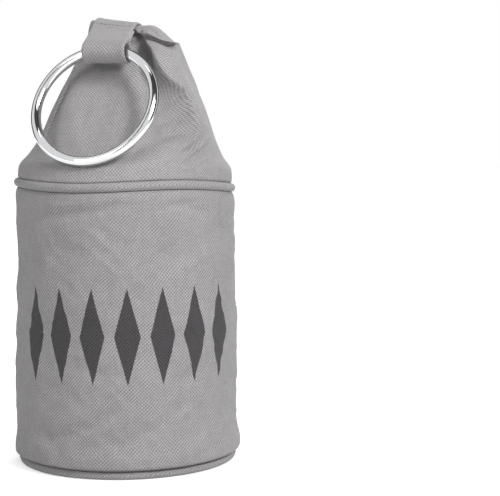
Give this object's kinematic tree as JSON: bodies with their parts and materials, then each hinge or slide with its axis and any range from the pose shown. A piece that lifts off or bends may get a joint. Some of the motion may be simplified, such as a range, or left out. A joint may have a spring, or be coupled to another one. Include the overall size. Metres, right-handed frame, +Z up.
{
  "type": "weighted fabric door stop",
  "caption": "Filled round canvas bag with corded seams, a hood pinched to a short ridge, and a chromed pull ring that swings in a folded canvas tab.",
  "frame": {"origin": "middle of the base panel's underside, on the floor", "axes": "+Z up from the floor to the ridge, -Y towards the front where the ring hangs, +X to the right seen from the front"},
  "size_m": [0.1229, 0.1225, 0.2404],
  "materials": {
    "canvas": "grey woven canvas, matt",
    "ring_metal": "bright chromed steel wire"
  },
  "bodies": {
    "bag": {"filled_body": "canvas", "base_panel": "canvas", "lower_piping": "canvas", "upper_piping": "canvas", "hood": "canvas", "ring_tab": "canvas"},
    "pull_ring": {"ring": "ring_metal"}
  },
  "joints": [
    {"name": "ring_swing", "type": "hinge", "parent": "bag", "child": "pull_ring", "pos_m": [-0.00979, -0.02541, 0.2196], "axis": [-0.9164, 0.4003, 0], "range_deg": [0, 200]}
  ]
}
